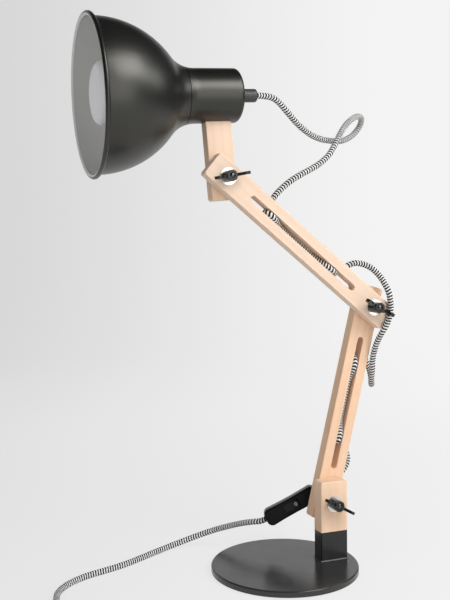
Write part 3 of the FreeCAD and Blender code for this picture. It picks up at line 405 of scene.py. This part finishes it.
def dress(names, material):
    for name in names:
        data = nodes[name].data
        data.materials.clear()
        data.materials.append(material)


def at_clamps(piece):
    """The names that one kind of piece has at the three clamps."""
    return ["%s_%s" % (clamp, piece) for clamp in ("base", "elbow", "head")]


dress(["base_disc"], powder_coat("foot_paint", 0.030, 0.22))
dress(["base_pad"], moulded("foot_pad_rubber", 0.03, 0.7))
dress(["base_sleeve"], powder_coat("sleeve_paint", 0.010, 0.24))
dress(at_clamps("wing_nut"), powder_coat("nut_black", 0.008, 0.28, grain=1500.0))
dress(at_clamps("bolt"), metal("black_nickel", rgb(0.10, 0.098, 0.092), 0.18))
dress(at_clamps("washer"), metal("nickel", rgb(0.78, 0.76, 0.72), 0.16))
dress(at_clamps("friction_washer"), moulded("fibre_washer", 0.12, 0.6, grain=900.0))
dress(["sleeve_screws", "stick_screw", "switch_screws", "rocker_axle", "plug_pins", "holder_nipple",
       "nipple_nut"], metal("bright_steel", rgb(0.66, 0.65, 0.63), 0.24))
dress(["holder_shell", "holder_contact"], metal("brass", rgb(0.78, 0.6, 0.3), 0.25))
dress(["bulb_cap"], metal("cap_aluminium", rgb(0.78, 0.78, 0.79), 0.3))
dress(["bulb_glass"], frosted_glass("frosted_bulb"))
dress(["lamp_cup", "lamp_shade"], enamelled("enamel"))
dress(["lamp_holder"], moulded("holder_plastic", 0.02, 0.45))
dress(["cord_gland"], moulded("gland_plastic", 0.055, 0.42))
dress(["switch_back", "switch_front", "plug_body"], moulded("switch_plastic", 0.006, 0.36, specular=0.22))
dress(["switch_rocker"], marked_rocker("rocker_plastic"))
# Painted light and shade in each plank's tone: the post is lightened, the upper arm and stick darkened.
dress(["lower_arm"], pine("pine_lower", LOWER_WAY, tone=1.0, warmth=0.9, shift=0.13))
dress(["upper_arm"], pine("pine_upper", UPPER_WAY, tone=0.97, warmth=0.0, shift=0.57))
dress(["post"], pine("pine_post", POST_WAY, tone=1.06, warmth=0.6, shift=0.91))
dress(["head_stick"], pine("pine_stick", STICK_WAY, tone=0.97, warmth=0.2, shift=0.31))

# ---------------------------------------------------------------- routes of the mains lead

# Control points, in millimetres, from the gland down to the plug. Each stretch starts
# where the one before it ends, apart from the switch between the post and the table.
HEAD_LOOP = [
    (-23.5, 11.3, 511.6), (-12.5, 11.3, 512.3), (0.5, 12, 509.5), (14.5, 15.5, 497.5),
    (29.4, 21, 485.5), (44.8, 27, 477.3), (61.1, 34, 472.5), (78.1, 40, 471.3), (96.5, 45.5, 471.8),
    (112.5, 49, 478.5), (121, 46, 489), (120.6, 38.5, 498.4), (110.8, 31.5, 499.9), (97.5, 25.8, 493.6),
    (84.4, 19.5, 481.8), (74.5, 15, 467.3), (64.2, 12.5, 451.4), (49.8, 12, 440.2), (33.6, 12, 432),
    (18, 13, 423.6), (5.5, 15.5, 413), (-2.4, 16.5, 404.1), (-8.5, 17.6, 392.8), (-14.4, 12.6, 384.4),
    (-17.6, 6.4, 385.5)]
UPPER_RUN = [
    (-17.6, 6.4, 385.5), (-19.5, 1, 387), (-19.6, -4, 387.1), (-17.3, -7.9, 385.2), (-13, -8.4, 381.7),
    (-8.6, -5.4, 378.1), (-3.7, -0.8, 374.1), (2.5, 3.2, 369), (13.3, 3.6, 360.1), (26.4, 3.6, 349.3),
    (35.7, 3.4, 341.7), (41.5, 1.2, 336.9), (46.1, -2.6, 333.2), (50.4, -6.2, 329.6), (54.6, -8, 326.2),
    (58.6, -6.8, 322.9), (61.1, -2.8, 320.9), (61.4, 2, 320.6), (60.9, 6.8, 321)]
ELBOW_LOOP = [
    (60.9, 6.8, 321), (61.3, 11.6, 321.5), (66, 15.4, 321.5), (80.5, 17, 326), (89.3, 14, 330.7),
    (95.4, 13, 332.6), (104.2, 11, 331.4), (112.6, 7.5, 327.4), (117.8, 3, 321.5), (120.8, -2.5, 314.9),
    (122.6, -8.5, 306.9), (124, -13, 299.3), (125, -14, 290.6), (125.6, -14, 281.5), (124, -14, 272.4),
    (120.8, -14, 264.6), (116.6, -12.5, 257), (113.4, -7.5, 247.5), (111.4, -3, 236.5),
    (110.6, 0.5, 224.5), (111.8, 3, 212.5), (113.2, 7.5, 202), (117, 14.5, 193.6), (123, 23.5, 191.8),
    (127.2, 31.5, 196), (128.4, 37, 206.5), (122.5, 38.5, 221.5), (108.5, 38.5, 235.8), (95, 27.6, 234),
    (93.3, 19.5, 228.7)]
LOWER_RUN = [
    (93.3, 19.5, 228.7), (92.9, 13.8, 226.9), (92.5, 9.2, 225.3), (91.6, 6.3, 221.6),
    (90.3, 6.1, 216.6), (89.1, 8.2, 211.5), (87.6, 11.2, 205.7), (85.8, 12.9, 198.1),
    (82.4, 12.9, 184.6), (78.6, 12.9, 169), (75.9, 12.6, 158.3), (74.2, 10.8, 151.4),
    (72.9, 8.2, 145.9), (71.6, 6.3, 140.7), (70.3, 6.6, 135.6), (69.5, 10, 132.3), (69.4, 14.8, 131.7),
    (69.3, 19.8, 131.4)]
POST_RUN = [
    (69.3, 19.8, 131.4), (68.9, 24.8, 128.6), (71.9, 28.8, 122.7), (81, 31, 122.5), (93.2, 30, 116),
    (94.8, 29.5, 101.5), (84.5, 31, 88.5), (68.9, 32.2, 77.5), (57.1, 36, 71)]
TABLE_RUN = [
    (1.6, 54, 40.1), (-3.4, 55.6, 37.3), (-12, 60.5, 36.6), (-22, 70.5, 33.2), (-33.5, 83.5, 27.3),
    (-47, 97, 20.2), (-63, 105.5, 13.5), (-84.5, 107.5, 7.5), (-108.5, 101, 4.5), (-132, 89, 3.6),
    (-157, 73.5, 3.6), (-181, 63.5, 3.6), (-208, 54.5, 3.6), (-229.5, 40, 3.6), (-243.5, 21, 3.6),
    (-248, -2, 3.6), (-250.5, -27, 3.6), (-250, -53, 3.6), (-250, -80, 3.6)]
TAIL = [
    (-190, -140, 16.8), (-178, -140, 16.8), (-165.5, -138, 11.6), (-153, -133.5, 7.6),
    (-140.5, -130, 7.1), (-128, -130, 7.1)]
# The spare lead's coil, in millimetres.
COIL_CENTRE = (-214.0, -104.0)
COIL_RADIUS = 36.0
COIL_TURNS = 2.25
COIL_FLOOR = 3.6
COIL_STEP = 6.6
COIL_POINTS = 16
# The share of a turn over which it climbs, and how far and how fast its turns wander in and out.
COIL_CLIMB = 1 / 6
COIL_WANDER = 0.12
COIL_WANDER_RATE = 5.0


def coil_points():
    """Flat turns on top of each other. The last part of each turn climbs to the level of the next."""
    points = []
    corner_radius = COIL_RADIUS / math.cos(math.pi / COIL_POINTS)
    for i in range(1, int(COIL_POINTS * COIL_TURNS)):
        turns = i / COIL_POINTS
        climb = max(0.0, 1.0 + (turns % 1.0 - 1.0) / COIL_CLIMB)
        angle = math.pi + turns * math.tau
        reach = corner_radius + COIL_WANDER * math.sin(turns * COIL_WANDER_RATE)
        points.append((COIL_CENTRE[0] + reach * math.cos(angle), COIL_CENTRE[1] + reach * math.sin(angle),
                       COIL_FLOOR + COIL_STEP * (int(turns) + climb)))
    return points


# ---------------------------------------------------------------- mains lead

CORD_RADIUS = 3.3 * MM
CORD_SIDES = 18
# The way and span of the last strand of the head loop and of the run behind the post.
HEAD_BEND = Vector((0.65, 0.0, 0.76)) * 91.0 * MM
POST_BEND = Vector((0.7, 0.0, 0.714)) * 50.0 * MM


def spline_line(points):
    """Points along the smooth NURBS line whose control points are given in millimetres."""
    curve = bpy.data.curves.new("route", "CURVE")
    curve.dimensions = "3D"
    spline = curve.splines.new("NURBS")
    spline.points.add(len(points) - 1)
    for spot, point in zip(spline.points, points):
        spot.co = (point[0] * MM, point[1] * MM, point[2] * MM, 1.0)
    spline.order_u = 3
    spline.use_endpoint_u = True
    spline.resolution_u = 10
    holder = link(bpy.data.objects.new("route", curve))
    mesh = bpy.data.meshes.new_from_object(holder)
    line = [v.co.copy() for v in mesh.vertices]
    bpy.data.objects.remove(holder)
    bpy.data.curves.remove(curve)
    bpy.data.meshes.remove(mesh)
    return [line[0]] + [b for a, b in zip(line, line[1:]) if (b - a).length > 0.001 * MM]


def steps_of(line):
    """The lengths between neighbouring points."""
    return [(b - a).length for a, b in zip(line, line[1:])]


def ways_across(line):
    """Two ways across the line at each of its points, which turn as little as they can."""
    tangent = (line[1] - line[0]).normalized()
    side = tangent.cross(Vector((0, 0, 1)) if abs(tangent.z) < 0.9 else Vector((1, 0, 0))).normalized()
    for behind, ahead in zip(line[:1] + line[:-1], line[1:] + line[-1:]):
        fresh = (ahead - behind).normalized()
        side = (tangent.rotation_difference(fresh) @ side).normalized()
        side = (side - fresh * side.dot(fresh)).normalized()
        tangent = fresh
        yield side, fresh.cross(side)


def tube(name, line, start_length, material):
    """Round mesh along the line, with the length in U and the turn in V."""
    mesh = bmesh.new()
    uv_layer = mesh.loops.layers.uv.new("UVMap")
    turns = [math.tau * k / CORD_SIDES for k in range(CORD_SIDES)]
    rings = [[mesh.verts.new(point + (side * math.cos(turn) + up * math.sin(turn)) * CORD_RADIUS)
              for turn in turns] for point, (side, up) in zip(line, ways_across(line))]
    travelled = list(accumulate(steps_of(line), initial=start_length))
    for i in range(len(rings) - 1):
        for k in range(CORD_SIDES):
            follow = (k + 1) % CORD_SIDES
            face = mesh.faces.new((rings[i][k], rings[i + 1][k], rings[i + 1][follow], rings[i][follow]))
            face.smooth = True
            spots = ((i, k), (i + 1, k), (i + 1, k + 1), (i, k + 1))
            for loop, (row, column) in zip(face.loops, spots):
                loop[uv_layer].uv = (travelled[row], column / CORD_SIDES)
    for ring, length in ((rings[0][::-1], travelled[0]), (rings[-1], travelled[-1])):
        cap = mesh.faces.new(ring)
        for loop in cap.loops:
            loop[uv_layer].uv = (length, 0.0)
    bmesh.ops.recalc_face_normals(mesh, faces=mesh.faces)
    return mesh_object(name, mesh, material)


# Name, control points, the nodes it stands for, the pieces on it, its far end, and how it lies.
STRETCHES = [
    ("lead_head_loop", HEAD_LOOP, ["cord_head_loop"], [], "object", "loose"),
    ("lead_upper_arm", UPPER_RUN, ["cord_upper_arm"], [], "object", "taut"),
    ("lead_elbow_loop", ELBOW_LOOP, ["cord_elbow_loop"], [], "object", "loose"),
    ("lead_lower_arm", LOWER_RUN, ["cord_lower_arm"], [], "object", "taut"),
    ("lead_post_run", POST_RUN, ["cord_post_run"],
     ["switch_back", "switch_front", "switch_rocker", "rocker_axle", "switch_screws"], "object", "loose"),
    ("lead_table", TABLE_RUN + coil_points() + TAIL, ["cord_table", "cord_coil", "cord_tail"],
     ["plug_body", "plug_pins"], "plug", "coiled")]


def lay_lead():
    """Draws each stretch, hides the nodes it stands for, and returns its tube and line."""
    material = braid("braid")
    laid_length = 0.0
    laid = []
    for name, points, stands_for, pieces, far_end, lay in STRETCHES:
        line = spline_line(points)
        length = sum(steps_of(line))
        item = tube(name, line, laid_length, material)
        laid_length += length
        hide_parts(*stands_for)
        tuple(line[0])
        [nodes[piece] for piece in pieces]
        laid.append((item, line))
    return laid


def bend(stretch, strand=None):
    """Bakes the stretch's place into its mesh."""
    item, line = stretch
    end = line[0] if strand is None else line[-1] + strand
    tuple(line[-1])
    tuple(end)
    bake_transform(item)


head_loop, upper_run, elbow_loop, lower_run, post_run, table_run = lay_lead()
bend(head_loop, HEAD_BEND)
bend(elbow_loop)
bend(post_run, POST_BEND)
for (item, _), body in ((upper_run, "upper_arm"), (lower_run, "lower_arm"), (table_run, "base")):
    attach(item, body)

# ---------------------------------------------------------------- backdrop

FLOOR_SIZE = 6.0
WALL_Y = 2.6
WALL_RISE = 2.6
SWEEP_RADIUS = 0.6
SWEEP_STEPS = 16
# The paper's tone runs from dim to bright along this way, between these two distances in metres.
# This gradient is painted shade and light, not the paper's own colour.
PAPER_WAY = (1.0, -0.42, 0.0)
PAPER_LEFT = -1.54
PAPER_RIGHT = 0.72
PAPER_SHADED = 0.68
PAPER_LIT = 0.93
# How much of the tone shows as written, whatever light falls on it, near the lamp and behind it.
PAPER_NEAR_Y = -0.1
PAPER_FAR_Y = 1.0
PAPER_EVEN_NEAR = 0.85
PAPER_EVEN_FAR = 0.95


def paper(name):
    """Pale paper with painted shade and light, dim to bright across it, that the camera, gloss and glass see
    partly as that painted tone. Its shadow stays.
    """
    sheet = Shader(name, Specular_IOR_Level=0.1, Roughness=0.9)
    where = sheet.place()
    across = sheet.vector_math("DOT_PRODUCT", where, PAPER_WAY)
    # Painted shade and light: the paper's colour runs from dim to bright across it.
    tone = sheet.mix(sheet.spread(across, PAPER_LEFT, PAPER_RIGHT), grey(PAPER_SHADED), grey(PAPER_LIT))
    sheet.set("Base Color", tone)
    ray = sheet.add("LightPath").outputs
    mirrored = sheet.math("MAXIMUM", ray["Is Glossy Ray"], ray["Is Transmission Ray"])
    seen = sheet.math("MAXIMUM", ray["Is Camera Ray"], mirrored)
    depth = sheet.add("SeparateXYZ", {"Vector": where}).outputs["Y"]
    even = sheet.spread(depth, PAPER_NEAR_Y, PAPER_FAR_Y, PAPER_EVEN_NEAR, PAPER_EVEN_FAR)
    glow = sheet.add("Emission", {"Color": tone, "Strength": 1.0}).outputs[0]
    surface = sheet.add("MixShader", {0: sheet.math("MULTIPLY", seen, even),
                                      1: sheet.principled.outputs[0], 2: glow}).outputs[0]
    sheet.feed(sheet.tree.nodes["Material Output"].inputs["Surface"], surface)
    return sheet.material


def make_backdrop():
    """Pale paper sweep: flat floor, a round bend and an upright wall."""
    half = FLOOR_SIZE / 2
    profile = [(-half, 0.0), (WALL_Y - SWEEP_RADIUS, 0.0)]
    for i in range(1, SWEEP_STEPS + 1):
        turn = math.pi / 2 * i / SWEEP_STEPS
        profile.append((WALL_Y - SWEEP_RADIUS * (1 - math.sin(turn)), SWEEP_RADIUS * (1 - math.cos(turn))))
    profile.append((WALL_Y, WALL_RISE))
    mesh = bmesh.new()
    rows = [[mesh.verts.new((x, y, z)) for x in (-half, half)] for y, z in profile]
    for near, far in zip(rows, rows[1:]):
        face = mesh.faces.new((near[0], near[1], far[1], far[0]))
        face.smooth = True
    mesh_object("backdrop", mesh, paper("paper"))


# ---------------------------------------------------------------- light

# Name, place and target in metres, width, height, watts, and whether gloss mirrors it.
LIGHTS = [
    ("softbox", (0.62, -1.02, 1.35), (-0.1, 0.0, 0.4), 0.95, 0.75, 17.5, True),
    ("front", (0.5, -1.7, 0.55), (0.0, 0.0, 0.3), 1.2, 0.9, 8.0, True),
    ("right", (1.75, -0.75, 1.25), (0.0, 0.0, 0.45), 0.9, 0.7, 6.0, True),
    ("left", (-1.6, -0.55, 0.75), (0.0, 0.0, 0.4), 1.4, 1.4, 9.0, False)]
WORLD_STRENGTH = 0.18
WORLD_MIRRORED = 0.03
WORLD_SEEN = 0.82


def area_light(name, place, target, width, height, watts, mirrored):
    data = bpy.data.lights.new(name, "AREA")
    data.shape = "RECTANGLE"
    data.size = width
    data.size_y = height
    data.energy = watts
    lamp = link(bpy.data.objects.new(name, data))
    lamp.location = place
    lamp.rotation_euler = (Vector(target) - Vector(place)).to_track_quat("-Z", "Y").to_euler()
    lamp.visible_glossy = mirrored


def make_world():
    """Even light all round, dim in reflections, and pale where the camera sees past the backdrop."""
    world = bpy.data.worlds.new("studio")
    world.use_nodes = True
    sky = Nodes(world.node_tree)
    ray = sky.add("LightPath").outputs
    level = WORLD_STRENGTH
    for kind, wanted in (("Is Glossy Ray", WORLD_MIRRORED), ("Is Camera Ray", WORLD_SEEN)):
        level = sky.add("MapRange", {"Value": ray[kind], "To Min": level, "To Max": wanted}).outputs[0]
    background = world.node_tree.nodes["Background"]
    sky.feed(background.inputs["Color"], grey(1.0))
    sky.feed(background.inputs["Strength"], level)
    bpy.context.scene.world = world


make_backdrop()
make_world()
for light in LIGHTS:
    area_light(*light)
bpy.context.scene.view_settings.view_transform = "Standard"
